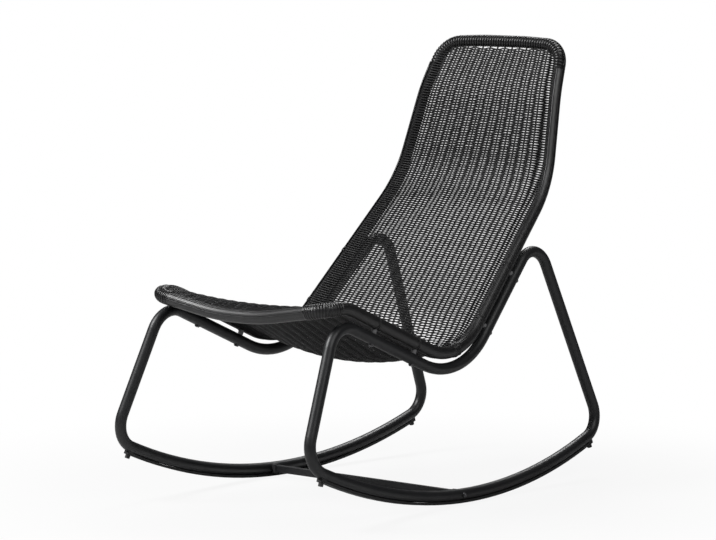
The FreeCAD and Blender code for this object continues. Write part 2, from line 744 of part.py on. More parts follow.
def main():
    os.makedirs("parts", exist_ok=True)
    write_pair("rocker_frame", side_frame())
    write("seat_frame_tube", seat_tube())
    for name in ("left", "top", "right", "front"):
        write("rail_wrap_" + name, rail_wrap(name))
    write_pair("corner_binding", binding(corner_edges()))
    write_pair("bend_binding", binding(bend_edges()))
    seat, back = woven_sling()
    write("woven_seat", seat)
    write("woven_back", back)
    for name in JOINTS:
        write_pair(name + "_spacer", spacer(name))
    for group, make in (("frame_bolts", frame_bolt), ("saddle_washers", saddle_washer),
                        ("threaded_inserts", threaded_insert)):
        write_pair(group, Part.makeCompound([make(name) for name in JOINTS]))
    write("crossbar", crossbar())
    write_pair("crossbar_saddle", crossbar_saddle())
    write_pair("crossbar_plug", crossbar_plug())
    write_pair("crossbar_bolt", crossbar_bolt())
    write_pair("glide_strip", glide_strip())
    for name, angle in stop_places().items():
        write_pair(name + "_end_stop", end_stop(angle))
    write_pair("end_stop_screws", Part.makeCompound([stop_screw(angle) for angle in stop_places().values()]))


main()
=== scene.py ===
import json
import math

import bpy
import numpy as np
from mathutils import Matrix, Vector


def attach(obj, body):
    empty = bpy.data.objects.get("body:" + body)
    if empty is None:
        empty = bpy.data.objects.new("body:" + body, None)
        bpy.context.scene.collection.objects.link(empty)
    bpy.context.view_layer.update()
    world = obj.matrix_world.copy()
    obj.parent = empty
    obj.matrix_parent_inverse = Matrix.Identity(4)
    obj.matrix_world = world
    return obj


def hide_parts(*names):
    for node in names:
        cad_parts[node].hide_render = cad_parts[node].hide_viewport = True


# A rocking chair whose woven resin sling hangs in a bent tube frame, on two closed loops of tube.
# Lengths are in metres, and angles in degrees unless a comment says otherwise. The seat frame's
# outline repeats the part's own dimensions.

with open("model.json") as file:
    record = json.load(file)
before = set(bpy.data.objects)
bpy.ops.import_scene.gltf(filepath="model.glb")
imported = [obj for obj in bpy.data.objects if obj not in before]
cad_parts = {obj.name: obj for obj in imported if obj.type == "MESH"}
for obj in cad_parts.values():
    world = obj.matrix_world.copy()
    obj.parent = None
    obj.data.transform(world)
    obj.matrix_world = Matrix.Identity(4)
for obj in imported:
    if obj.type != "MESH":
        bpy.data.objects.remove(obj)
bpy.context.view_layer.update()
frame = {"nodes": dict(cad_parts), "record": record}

# Side frames
TUBE_R = 0.0125
HALF_TRACK = 0.279
LEAN = 5.1
TOE = 1.2
LOW_POINT = (0.014, 0.259)
SEAT_RUN = 0.435
SEAT_RISE = 23.4
BACK_RUN = 0.429
BACK_RISE = 44.9
FRONT_RAKE = 23.8
REAR_RAKE = 23.2
FRONT_TOP_BEND = 0.062
LOW_BEND = 0.192
REAR_TOP_BEND = 0.053
STRIP_W = 0.014

# Seat frame
RAIL_R = 0.011
WRAP_R = 0.014
FRAME_GAP = 0.0085
FRONT_REACH = 0.065
FRONT_DIP = 0.030
FRONT_DIP_HALF = 0.060
FRONT_DIP_BEND = 0.600
FRONT_CORNER_BEND = 0.040
KNEE_RUN = 0.102
KNEE_BEND = 0.090
SHOULDER_RUN = 0.235
SHOULDER_BEND = 0.280
UPPER_BACK_RISE = 73.5
UPPER_BACK_RUN = 0.215
NECK_BEND = 0.400
NECK_INSET = 0.005
HEADREST_RISE = 65.4
HEADREST_RUN = 0.117
TOP_INSET = 0.011
TOP_CORNER_BEND = 0.056
TOP_ARCH = 0.005
TOP_ARCH_HALF = 0.060
TOP_ARCH_BEND = 0.900

# Sling: how far its edges lie towards the sitter, and how far its middle hangs away
WEAVE_REST = 0.006
FRONT_SAG = 0.024
KNEE_SAG = 0.0085
LOW_SAG = 0.040
LOWER_BACK_SAG = -0.008
SHOULDER_SAG = -0.026
NECK_SAG = -0.010
TOP_SAG = 0.0

# Bolted joints and bindings
REAR_SEAT_JOINT = 0.0405
FRONT_SEAT_JOINT = 0.0635
LOWER_BACK_JOINT = 0.0205
UPPER_BACK_JOINT = 0.050
CORNER_BINDING_L = 0.013
CORNER_BINDING_TURN = 88.0
BEND_BINDING_FROM = 7.0
BEND_BINDING_SPAN = 8.0

# Weave
STAKES = 14
STAKE_W = 0.0052
STAKE_T = 0.0018
STAKE_STEP = 0.007  # from ring to ring along it
STAKE_SIDES = 10
WEFT_D = 0.0018
WEFT_W = 0.0040  # flattened in the weave's surface, so that neighbours touch between stakes
PINCH_RUN = 0.06  # from the seam up the back, where the pairing sets in
PINCH = 0.0009  # how far a weft shifts along the stakes where it crosses one, so that wefts pair up
WEFT_PITCH = 0.003
WEFT_SIDES = 5
WEFT_STEPS = 5  # rings of a weft from one stake to the next
END_STEPS = 7  # and from the last stake to the rail
WRAP_STEPS = 9  # and round the rail
WRAP_END = -165.0  # degrees round the rail, from outwards, where a weft stops
WEFT_LIFT_SPREAD = (0.94, 1.04)  # of a weft's height over the stakes, from weft to weft
WOBBLE = 0.00022  # how far a weft sways along the stakes
WOBBLE_TURNS = (0.3, 0.8)  # radians of that sway's wave from one stake to the next
WOBBLE_STARTS = (0, 6.3)  # and its phase at the middle, in radians

# Strands laid along and wound round the rails
COVER_T = 0.0013
COVER_LIFT = 0.001  # how far a laid strand's outer face stands above the wrap's
COVER_STEP = 0.006  # from ring to ring along it
COVER_SIDES = 10
COVER_W = 1.3  # width of a laid strand, as a share of its place's width
COVER_PLACES = {  # degrees round the rail from outwards towards the sitter, where each strand lies
    "left": (-60, -43, -26, -9, 8, 25, 42, 59),
    "right": (-60, -43, -26, -9, 8, 25, 42, 59),
    "top": (-70, -54, -38, -22, -6),
    "front": (-84, -68, -52, -36, -20, -4, 12, 28, 44, 66),
}
WINDING_W = 0.0066  # of the strand wound under the laid ones
WINDING_T = 0.0024
WINDING_PITCH = 0.0072
BINDING_W = 0.0042  # of the strand wound over them
BINDING_T = 0.0014
BINDING_PITCH = 0.0047
WOUND_STEPS = 18  # rings of a wound strand in each turn
WOUND_SIDES = 6
CROSS_STEPS = 16  # and of a crossed strand in all
CROSS_W = BINDING_W * 0.6
CROSS_L = 0.014  # along the rail, of the strands crossed over a binding
CROSS_PLACE = 0.65  # share of the binding's length up to where they cross
CROSS_SWEEP = (-80, 80)  # degrees round the rail
TIE_L = 0.010  # along the rail, of those crossed over it at a joint
TIE_SWEEP = (-75, 95)

# How far the middle of each kind of strand lies from the rail's axis
WEFT_R = RAIL_R + WEFT_D / 2
WINDING_R = WRAP_R - WINDING_T * 0.6
COVER_R = WRAP_R - COVER_T / 2 + COVER_LIFT
BINDING_R = WRAP_R + COVER_LIFT + BINDING_T * 0.3
CROSS_R = WRAP_R + COVER_LIFT + BINDING_T * 0.9

RAIL_OFFSET = TUBE_R + FRAME_GAP + WRAP_R
RAIL_LOW_BEND = LOW_BEND - RAIL_OFFSET
FLOOR_LIFT = STRIP_W / 2 * math.sin(math.radians(LEAN))
SEAT_ANGLE = 180 - SEAT_RISE
BACK_ANGLE = BACK_RISE
ROUTE_STEP = 0.001
ROW_STEP = 4  # the sling keeps every fourth point of the rail's route
SAG_BLUR = 8  # and smooths its hang over this many on either side

MIRROR = np.array((-1, 1, 1))  # turns a left half's point into the right half's

chance = np.random.default_rng(11)


def unit(vector):
    return vector / np.linalg.norm(vector, axis=-1, keepdims=True)


def turned(vector):
    """A direction of the side frame's plane, leaned inwards and toed."""
    lean = Matrix.Rotation(math.radians(-LEAN), 3, "Y")
    toe = Matrix.Rotation(math.radians(TOE), 3, "Z")
    return np.array(toe @ lean @ Vector(vector))


BACKWARDS = turned((0, 1, 0))
UPWARDS = turned((0, 0, 1))
OUTWARDS = turned((1, 0, 0))


def side(point, out=0.0):
    """A point of the left side frame's plane, given as back and up."""
    base = np.array((HALF_TRACK, 0, FLOOR_LIFT))
    return base + BACKWARDS * point[0] + UPWARDS * point[1] + OUTWARDS * out


def beyond(point, angle, distance):
    """The plane point at a distance from another, in a direction given in degrees."""
    turn = math.radians(angle)
    return point[0] + distance * math.cos(turn), point[1] + distance * math.sin(turn)


def bend_reach(radius, turn):
    return radius * math.tan(math.radians(turn) / 2)


def joint_places():
    """Plane points of the rail beside each bolted joint, on the seat run and the back run."""
    low = bend_reach(LOW_BEND, 180 - SEAT_ANGLE + BACK_ANGLE)
    front = bend_reach(FRONT_TOP_BEND, 90 + SEAT_RISE - FRONT_RAKE)
    rear = bend_reach(REAR_TOP_BEND, 90 + BACK_RISE - REAR_RAKE)
    runs = {
        "front_seat": (SEAT_ANGLE, SEAT_ANGLE - 90, SEAT_RUN - front - FRONT_SEAT_JOINT),
        "rear_seat": (SEAT_ANGLE, SEAT_ANGLE - 90, low + REAR_SEAT_JOINT),
        "lower_back": (BACK_ANGLE, BACK_ANGLE + 90, low + LOWER_BACK_JOINT),
        "upper_back": (BACK_ANGLE, BACK_ANGLE + 90, BACK_RUN - rear - UPPER_BACK_JOINT),
    }
    return {
        name: beyond(beyond(LOW_POINT, along, distance), way, RAIL_OFFSET)
        for name, (along, way, distance) in runs.items()
    }


JOINTS = joint_places()


def rail_corners():
    """Corner points and bends of the left rail, from the front corner to the top corner."""
    half = math.radians(SEAT_ANGLE - BACK_ANGLE) / 2
    low = beyond(LOW_POINT, (SEAT_ANGLE + BACK_ANGLE) / 2, RAIL_OFFSET / math.sin(half))
    knee = beyond(JOINTS["front_seat"], SEAT_ANGLE, KNEE_RUN)
    shoulder = beyond(JOINTS["upper_back"], BACK_ANGLE, SHOULDER_RUN)
    neck = beyond(shoulder, UPPER_BACK_RISE, UPPER_BACK_RUN)
    top = beyond(neck, HEADREST_RISE, HEADREST_RUN)
    corners = [
        side((knee[0] - FRONT_REACH, knee[1])),
        side(knee),
        side(low),
        side(shoulder),
        side(neck, -NECK_INSET),
        side(top, -TOP_INSET),
    ]
    radii = [FRONT_CORNER_BEND, KNEE_BEND, RAIL_LOW_BEND, SHOULDER_BEND, NECK_BEND, TOP_CORNER_BEND]
    return corners, radii


CORNERS, RADII = rail_corners()


def bend_points(before, corner, after, radius):
    """Points round a corner's bend."""
    one, two = unit(before - corner), unit(after - corner)
    half = math.acos(float(np.dot(one, two))) / 2
    centre = corner + unit(one + two) * radius / math.sin(half)
    start = corner + one * radius / math.tan(half) - centre
    end = corner + two * radius / math.tan(half) - centre
    turn = math.pi - 2 * half
    share = np.linspace(0, 1, max(3, round(radius * turn / ROUTE_STEP)))[:, None]
    return centre + (np.sin((1 - share) * turn) * start + np.sin(share * turn) * end) / math.sin(turn)


class Route:
    """A path that is read by the distance along it."""

    def __init__(self, points):
        self.points = points
        steps = np.linalg.norm(np.diff(points, axis=0), axis=1)
        self.along = np.concatenate(([0], np.cumsum(steps)))
        self.length = self.along[-1]

    def at(self, distance):
        distance = np.asarray(distance, float)
        return np.stack([np.interp(distance, self.along, self.points[:, i]) for i in range(3)], -1)

    def tangent(self, distance):
        distance = np.asarray(distance, float)
        near = np.clip(distance, ROUTE_STEP, self.length - ROUTE_STEP)
        return unit(self.at(near + ROUTE_STEP) - self.at(near - ROUTE_STEP))

    def nearest(self, point):
        return float(self.along[np.argmin(np.linalg.norm(self.points - point, axis=1))])


def rounded(corners, radii):
    """A path from the first corner to the last, with each corner between rounded."""
    pieces = [corners[0][None]]
    for i in range(1, len(corners) - 1):
        pieces.append(bend_points(corners[i - 1], corners[i], corners[i + 1], radii[i]))
    pieces.append(corners[-1][None])
    whole = Route(np.concatenate(pieces))
    return Route(whole.at(np.linspace(0, whole.length, round(whole.length / ROUTE_STEP))))


def frame_path():
    """The seat frame's closed path: from the middle of the front rail up the left side and round."""
    dip = np.array((FRONT_DIP_HALF, CORNERS[0][1], CORNERS[0][2] - FRONT_DIP))
    arch = np.array((TOP_ARCH_HALF, CORNERS[-1][1], CORNERS[-1][2] + TOP_ARCH))
    left = [dip] + CORNERS + [arch]
    radii = [FRONT_DIP_BEND] + RADII + [TOP_ARCH_BEND]
    middle = dip * (0, 1, 1)
    corners = [middle] + left + [point * MIRROR for point in reversed(left)] + [middle]
    return rounded(corners, [0] + radii + radii[::-1] + [0])


PROFILE = rounded(CORNERS, RADII)
LOOP = frame_path()


def sag_at(rail_point):
    """The sling's hang beside a point of the rail, eased from place to place."""
    sags = [FRONT_SAG, KNEE_SAG, LOW_SAG, LOWER_BACK_SAG, SHOULDER_SAG, NECK_SAG, TOP_SAG]
    places = list(zip(CORNERS[:3] + [side(JOINTS["lower_back"])] + CORNERS[3:], sags))
    best = None
    for (start, first), (end, second) in zip(places, places[1:]):
        step = end - start
        share = min(1.0, max(0.0, float(np.dot(rail_point - start, step) / np.dot(step, step))))
        away = float(np.linalg.norm(rail_point - (start + step * share)))
        if best is None or away < best[0]:
            best = (away, first + (second - first) * (1 - math.cos(math.pi * share)) / 2)
    return best[1]


def front_way(tangents):
    """The way out of the sling towards the sitter, square to the rail."""
    across = np.zeros_like(tangents)
    across[..., 1] = -tangents[..., 2]
    across[..., 2] = tangents[..., 1]
    return unit(across)


class Sling:
    """The hanging surface, read by distance along the profile and by x."""

    def __init__(self):
        self.along = PROFILE.along[::ROW_STEP]
        rail = PROFILE.at(self.along)
        self.front = front_way(PROFILE.tangent(self.along))
        sags = np.array([sag_at(point) for point in rail])
        # A running mean rounds the hang where one stretch meets the next
        count = 2 * SAG_BLUR + 1
        sags = np.convolve(np.pad(sags, SAG_BLUR, mode="edge"), np.ones(count) / count, mode="valid")
        self.middle = rail - self.front * sags[:, None]
        self.edge = rail + self.front * WEAVE_REST
        self.half = rail[:, 0]

    def read(self, values, distance):
        return np.stack([np.interp(distance, self.along, values[:, i]) for i in range(3)], -1)

    def half_width(self, distance):
        return np.interp(distance, self.along, self.half)

    def facing(self, distance):
        return unit(self.read(self.front, distance))

    def place(self, distance, x):
        """Points of the surface, for arrays of distances and of x."""
        middle, edge = self.read(self.middle, distance), self.read(self.edge, distance)
        share = (x / self.half_width(distance))[..., None]
        point = middle + (edge - middle) * share ** 2
        point[..., 0] = x
        return point

    def stake_x(self, distance, number):
        """Where a stake crosses, counted from the middle outwards by halves."""
        clear = self.half_width(distance) - WRAP_R
        return clear * number / ((STAKES + 1) / 2)


SLING = Sling()


def rounded_ends():
    """Where the rail's corner bends cut the profile: distance along it, and the rail there."""
    left = LOOP.points[:len(LOOP.points) // 2]
    top_way = unit(CORNERS[-1] - CORNERS[-2])
    front_end = unit(CORNERS[0] - CORNERS[1])
    at_top = PROFILE.length + (left - CORNERS[-1]) @ top_way
    at_front = -(left - CORNERS[0]) @ front_end
    top = (left[:, 2] > CORNERS[-2][2]) & (left[:, 0] > TOP_ARCH_HALF)
    front = (left[:, 1] < CORNERS[1][1]) & (left[:, 0] > FRONT_DIP_HALF)
    front &= left[:, 2] < CORNERS[1][2] + RAIL_R
    return (at_front[front], left[front]), (at_top[top], left[top])


FRONT_END, TOP_END = rounded_ends()


def rail_beside(distance):
    """The left rail's axis where a weft at this distance meets it, and its direction there."""
    for places, points in (FRONT_END, TOP_END):
        low, high = places.min(), places.max()
        if low <= distance <= high:
            index = int(np.argmin(np.abs(places - distance)))
            before, after = points[max(index - 1, 0)], points[min(index + 1, len(points) - 1)]
            return points[index], unit(after - before)
    return PROFILE.at(distance), PROFILE.tangent(distance)


class Strands:
    """Collects flat strands into one mesh."""

    def __init__(self):
        self.points, self.quads, self.caps = [], [], []
        self.uvs, self.tones = [], []
        self.count = 0

    def add(self, path, facing, width, height, sides):
        """A strand along a path, as high along facing and as wide across it as given."""
        path = np.asarray(path, float)
        way = unit(np.gradient(path, axis=0))
        across = unit(np.cross(way, facing))
        over = np.cross(across, way)
        angle = np.arange(sides) / sides * 2 * math.pi + math.pi / sides
        ring = across[:, None] * (np.cos(angle)[:, None] * width / 2)
        ring = ring + over[:, None] * (np.sin(angle)[:, None] * height / 2)
        self.points.append((path[:, None] + ring).reshape(-1, 3))
        rings = np.arange(len(path) - 1)[:, None] * sides
        here = np.arange(sides)
        there = (here + 1) % sides
        quads = np.stack([rings + here, rings + there, rings + sides + there, rings + sides + here], -1)
        self.quads.append(quads.reshape(-1, 4) + self.count)
        last = (len(path) - 1) * sides
        self.caps.append(self.count + here[::-1])
        self.caps.append(self.count + last + here)
        run = np.concatenate(([0], np.cumsum(np.linalg.norm(np.diff(path, axis=0), axis=1))))
        u = np.stack([run[:-1], run[:-1], run[1:], run[1:]], -1)[:, None] + np.zeros((1, sides, 1))
        v = np.stack([here, here + 1, here + 1, here], -1)[None] / sides + np.zeros((len(path) - 1, 1, 1))
        self.uvs.append(np.stack([u, v], -1).reshape(-1, 2))
        self.tones.append(np.full(len(path) * sides, chance.random()))
        self.count += len(path) * sides

    def build(self, name, slot, replaced, smooth=False):
        """The strands as one piece, in place of the CAD nodes that it replaces."""
        faces = np.concatenate(self.quads).tolist() + [cap.tolist() for cap in self.caps]
        mesh = bpy.data.meshes.new(name)
        mesh.from_pydata(np.concatenate(self.points).tolist(), [], faces)
        mesh.polygons.foreach_set("use_smooth", np.ones(len(mesh.polygons), bool))
        loops = np.zeros((len(mesh.loops), 2), np.float32)
        flat = np.concatenate(self.uvs)
        loops[:len(flat)] = flat
        mesh.uv_layers.new(name="strand").data.foreach_set("uv", loops.ravel())
        tone = mesh.attributes.new("tone", "FLOAT", "POINT")
        tone.data.foreach_set("value", np.concatenate(self.tones).astype(np.float32))
        mesh.update()
        piece = bpy.data.objects.new(name, mesh)
        bpy.context.scene.collection.objects.link(piece)
        piece.data.materials.append(LAID_STRAND if smooth else MATERIALS[slot])
        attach(piece, "root")
        if replaced:
            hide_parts(*replaced)


def ease(share):
    """0 to 1, with a soft start and end."""
    return (1 - np.cos(np.pi * np.clip(share, 0, 1))) / 2


def weft_end(distance, number, height, shift):
    """A weft's way from its last stake over or under the left rail and round it."""
    rail, along = rail_beside(distance)
    facing = SLING.facing(distance)
    facing = unit(facing - along * np.dot(facing, along))
    outward = np.cross(along, facing)
    face = -math.copysign(1.0, height)
    start = SLING.stake_x(distance, number)
    share = np.linspace(0, 1, END_STEPS + 1)[1:]
    x = start + (rail[0] - start) * share
    base = SLING.place(distance + shift * (1 - ease(share)), x)
    target = rail + facing * (face * WEFT_R) - base[-1]
    eased = ease(share)[:, None]
    path = base + facing * (height * (1 - eased)) + target * eased
    turn = np.radians(np.linspace(90, WRAP_END, WRAP_STEPS + 1)[1:])[:, None]
    radial = outward * np.cos(turn) + facing * (face * np.sin(turn))
    path = np.concatenate([path, rail + radial * WEFT_R])
    facings = np.concatenate([np.repeat(facing[None], len(x), 0), radial * face])
    return path, facings


def weft(strands, distance, order):
    """One weft, over and under the stakes from the right rail to the left."""
    rail, _ = rail_beside(distance)
    lift = (STAKE_T + WEFT_D) / 2 * chance.uniform(*WEFT_LIFT_SPREAD)
    room = rail[0] - WRAP_R - STAKE_W
    last = (STAKES - 1) / 2
    while SLING.stake_x(distance, last) > room and last > 1:
        last -= 1
    numbers = np.linspace(-last, last, round(2 * last) * WEFT_STEPS + 1)
    spread = np.full(len(numbers), distance)
    x = SLING.stake_x(spread, numbers)
    sway = WOBBLE * np.sin(numbers * chance.uniform(*WOBBLE_TURNS) + chance.uniform(*WOBBLE_STARTS))
    facing = SLING.facing(distance)
    heights = lift * np.sin(math.pi * numbers) * order
    pinch = PINCH * ease((distance - seam_distance()) / PINCH_RUN)
    shifts = sway + pinch * np.sin(math.pi * numbers) * order
    middle = SLING.place(spread + shifts, x) + facing * heights[:, None]
    left, left_facing = weft_end(distance, last, heights[-1], shifts[-1])
    right, right_facing = weft_end(distance, last, heights[0], shifts[0])
    path = np.concatenate([right[::-1] * MIRROR, middle, left])
    middle_facing = np.repeat(facing[None], len(x), 0)
    facings = np.concatenate([right_facing[::-1] * MIRROR, middle_facing, left_facing])
    strands.add(path, facings, WEFT_W, WEFT_D, WEFT_SIDES)


def seam_distance():
    """Where the seat's weave is taken to end and the back's to begin: the profile's lowest point."""
    return float(PROFILE.along[np.argmin(PROFILE.points[:, 2])])


def build_wefts():
    first, last = WEFT_R, PROFILE.length - WEFT_R
    seam = seam_distance()
    middle = (seam + last) / 2
    groups = {
        "wefts_seat": (first, seam, ["woven_seat"]),
        "wefts_lower_back": (seam, middle, ["woven_back"]),
        "wefts_upper_back": (middle, last, ["woven_back"]),
    }
    distances = np.arange(first, last, WEFT_PITCH)
    for name, (start, end, replaced) in groups.items():
        strands = Strands()
        for number, distance in enumerate(distances):
            if start <= distance < end:
                weft(strands, distance, 1 - 2 * (number % 2))
        strands.build(name, "resin_wicker", replaced)


def build_stakes():
    seam = seam_distance()
    parts = {
        "stakes_seat": (0.0, seam, ["woven_seat"]),
        "stakes_back": (seam, PROFILE.length, ["woven_back"]),
    }
    for name, (start, end, replaced) in parts.items():
        strands = Strands()
        distance = np.linspace(start, end, round((end - start) / STAKE_STEP))
        for i in range(STAKES):
            number = i - (STAKES - 1) / 2
            x = SLING.stake_x(distance, number)
            path = SLING.place(distance, x)
            strands.add(path, SLING.facing(distance), STAKE_W, STAKE_T, STAKE_SIDES)
        strands.build(name, "resin_wicker", replaced)


def loop_frames(distance):
    """Points of the seat frame's path with the ways along, towards the sitter and outwards."""
    points, along = LOOP.at(distance), LOOP.tangent(distance)
    rows = [PROFILE.nearest(point * (np.sign(point[0]) or 1, 1, 1)) for point in points]
    facing = SLING.facing(np.array(rows))
    facing = unit(facing - along * np.sum(facing * along, -1, keepdims=True))
    return points, along, facing, np.cross(along, facing)


def loop_stretches():
    """The stretches of the seat frame's path that the wraps cover, as distances along it."""
    front = LOOP.nearest(CORNERS[0] + unit(CORNERS[1] - CORNERS[0]) * FRONT_CORNER_BEND)
    top = LOOP.nearest(CORNERS[-1] + unit(CORNERS[-2] - CORNERS[-1]) * TOP_CORNER_BEND)
    return {
        "left": (front, top),
        "top": (top, LOOP.length - top),
        "right": (LOOP.length - top, LOOP.length - front),
        "front": (-front, front),
    }


def laid(strands, distance, angle, radius, width, height, sides=WOUND_SIDES):
    """A strand laid along the rail at an angle from outwards, which may vary along it."""
    points, _, facing, outward = loop_frames(np.mod(distance, LOOP.length))
    turn = np.broadcast_to(np.radians(angle), distance.shape)[:, None]
    radial = outward * np.cos(turn) + facing * np.sin(turn)
    strands.add(points + radial * radius, radial, width, height, sides)


def crossed(strands, middle, length, sweep, radius):
    """Two strands crossed over the rail, each from one angle round it to the other."""
    distance = np.linspace(middle - length / 2, middle + length / 2, CROSS_STEPS)
    for first, last in (sweep, sweep[::-1]):
        laid(strands, distance, np.linspace(first, last, CROSS_STEPS), radius, CROSS_W, BINDING_T)


def build_covers():
    """Flat strands laid side by side along the outer side of the rails."""
    for name, (start, end) in loop_stretches().items():
        strands = Strands()
        places = COVER_PLACES[name]
        width = math.radians(places[1] - places[0]) * COVER_R * COVER_W
        distance = np.linspace(start, end, round((end - start) / COVER_STEP))
        for angle in places:
            laid(strands, distance, angle, COVER_R, width, COVER_T, COVER_SIDES)
        strands.build("cover_" + name, "resin_wicker", ["rail_wrap_" + name], True)


def wound(strands, start, end, radius, pitch, width, height):
    """A flat strand wound round the rail from one distance along it to another."""
    turns = (end - start) / pitch
    count = round(turns * WOUND_STEPS) + 1
    distance = np.linspace(start, end, count)
    points, _, facing, outward = loop_frames(np.mod(distance, LOOP.length))
    turn = (np.linspace(0, turns, count) * 2 * math.pi)[:, None]
    radial = outward * np.cos(turn) + facing * np.sin(turn)
    strands.add(points + radial * radius, radial, width, height, WOUND_SIDES)


def build_windings():
    """Strand wound round the front and top rails, under the laid strands."""
    stretches = loop_stretches()
    for name in ("top", "front"):
        strands = Strands()
        start, end = stretches[name]
        wound(strands, start, end, WINDING_R, WINDING_PITCH, WINDING_W, WINDING_T)
        strands.build("winding_" + name, "resin_wicker", ["rail_wrap_" + name], True)


def build_bindings():
    """Short windings over the rails' laid strands, each with two strands crossed over it."""
    front_corner = LOOP.nearest(CORNERS[0] - np.array((FRONT_CORNER_BEND, 0, 0)))
    lowest = LOOP.nearest(PROFILE.at(seam_distance()))
    places = {
        "corner_binding": (
            front_corner - CORNER_BINDING_L,
            front_corner + FRONT_CORNER_BEND * math.radians(CORNER_BINDING_TURN),
        ),
        "bend_binding": (
            lowest + RAIL_LOW_BEND * math.radians(BEND_BINDING_FROM),
            lowest + RAIL_LOW_BEND * math.radians(BEND_BINDING_FROM + BEND_BINDING_SPAN),
        ),
    }
    for name, (start, end) in places.items():
        for hand in ("left", "right"):
            strands = Strands()
            first, last = (start, end) if hand == "left" else (LOOP.length - end, LOOP.length - start)
            wound(strands, first, last, BINDING_R, BINDING_PITCH, BINDING_W, BINDING_T)
            reach = (last - first) * CROSS_PLACE
            crossing = first + reach if hand == "left" else last - reach
            crossed(strands, crossing, CROSS_L, CROSS_SWEEP, CROSS_R)
            strands.build("wound_" + name + "_" + hand, "resin_wicker", [name + "_" + hand], True)


def build_joint_ties():
    """Two strands crossed over the rail beside each bolted joint."""
    for name, place in JOINTS.items():
        middle = LOOP.nearest(side(place))
        for hand in ("left", "right"):
            strands = Strands()
            centre = middle if hand == "left" else LOOP.length - middle
            crossed(strands, centre, TIE_L, TIE_SWEEP, BINDING_R)
            strands.build("tie_" + name + "_" + hand, "resin_wicker", [], True)


class Nodes:
    """Short ways to write a material's nodes."""

    def __init__(self, name):
        self.material = bpy.data.materials.new(name)
        self.material.use_nodes = True
        self.tree = self.material.node_tree
        self.shader = self.tree.nodes["Principled BSDF"]
        self.coordinates = self.add("ShaderNodeTexCoord")

    def add(self, kind, **values):
        node = self.tree.nodes.new(kind)
        for name, value in values.items():
            if name in node.inputs:
                node.inputs[name].default_value = value
            else:
                setattr(node, name, value)
        return node

    def link(self, start, end):
        self.tree.links.new(start, end)

    def noise(self, scale, detail=3.0, stretch=None):
        node = self.add("ShaderNodeTexNoise", Scale=scale, Detail=detail)
        source = self.coordinates.outputs["Object"]
        if stretch:
            mapping = self.add("ShaderNodeMapping", Scale=stretch)
            self.link(source, mapping.inputs["Vector"])
            source = mapping.outputs["Vector"]
        self.link(source, node.inputs["Vector"])
        return node.outputs["Fac"]

    def ramp(self, source, low, high, first, second):
        node = self.add("ShaderNodeMapRange")
        node.inputs["From Min"].default_value = low
        node.inputs["From Max"].default_value = high
        node.inputs["To Min"].default_value = first
        node.inputs["To Max"].default_value = second
        self.link(source, node.inputs["Value"])
        return node.outputs["Result"]

    def blend(self, share, first, second):
        node = self.add("ShaderNodeMix", data_type="RGBA")
        self.link(share, node.inputs["Factor"])
        # Inputs 6 and 7 and output 2 are the colour ones, whose names the plain ones share
        for socket, value in ((node.inputs[6], first), (node.inputs[7], second)):
            if isinstance(value, tuple):
                socket.default_value = (*value, 1)
            else:
                self.link(value, socket)
        return node.outputs[2]

    def bump(self, height, strength, distance, under=None):
        node = self.add("ShaderNodeBump", Strength=strength, Distance=distance)
        self.link(height, node.inputs["Height"])
        if under:
            self.link(under, node.inputs["Normal"])
        return node.outputs["Normal"]

    def surface(self, colour, roughness, normal):
        self.link(colour, self.shader.inputs["Base Color"])
        self.link(roughness, self.shader.inputs["Roughness"])
        self.link(normal, self.shader.inputs["Normal"])
        return self.material


def powder_coat():
    """Satin charcoal powder coat with a fine orange-peel texture and faint scuffs."""
    n = Nodes("satin_powder_coat")
    cloud = n.ramp(n.noise(9, 4), 0.35, 0.65, 0, 1)
    colour = n.blend(cloud, (0.011, 0.0114, 0.0125), (0.015, 0.0155, 0.017))
    scuff = n.ramp(n.noise(60, 6, (1, 1, 0.25)), 0.60, 0.72, 0, 0.35)
    colour = n.blend(scuff, colour, (0.036, 0.037, 0.039))
    roughness = n.ramp(n.noise(35, 4), 0.3, 0.7, 0.38, 0.48)
    peel = n.bump(n.noise(900, 2), 0.25, 0.0003)
    n.shader.inputs["Specular IOR Level"].default_value = 0.5
    n.shader.inputs["Coat Weight"].default_value = 0.1
    n.shader.inputs["Coat Roughness"].default_value = 0.3
    return n.surface(colour, roughness, peel)


RIBS = 9  # round a strand


def wicker(name, smooth):
    """Extruded resin strand: charcoal, faintly ribbed along its length, each strand its own tone."""
    n = Nodes(name)
    tone = n.add("ShaderNodeAttribute", attribute_name="tone")
    colour = n.blend(tone.outputs["Fac"], (0.006, 0.006, 0.0063), (0.010, 0.0098, 0.0105))
    streak = n.ramp(n.noise(120, 3), 0.45, 0.7, 0, 0.5)
    colour = n.blend(streak, colour, (0.020, 0.0195, 0.0205))
    split = n.add("ShaderNodeSeparateXYZ")
    n.link(n.coordinates.outputs["UV"], split.inputs["Vector"])
    ribs = n.add("ShaderNodeMath", operation="SINE")
    count = n.add("ShaderNodeMath", operation="MULTIPLY")
    count.inputs[1].default_value = 2 * math.pi * RIBS
    n.link(split.outputs["Y"], count.inputs[0])
    n.link(count.outputs[0], ribs.inputs[0])
    grain = n.bump(n.noise(1500, 2), 0.1 if smooth else 0.25, 0.0002)
    ribbed = n.bump(ribs.outputs[0], 0.08 if smooth else 0.3, 0.0002, grain)
    n.shader.inputs["Specular IOR Level"].default_value = 0.7 if smooth else 0.2
    rough = (0.30, 0.40) if smooth else (0.36, 0.50)
    roughness = n.ramp(n.noise(200, 3), 0.3, 0.7, *rough)
    return n.surface(colour, roughness, ribbed)


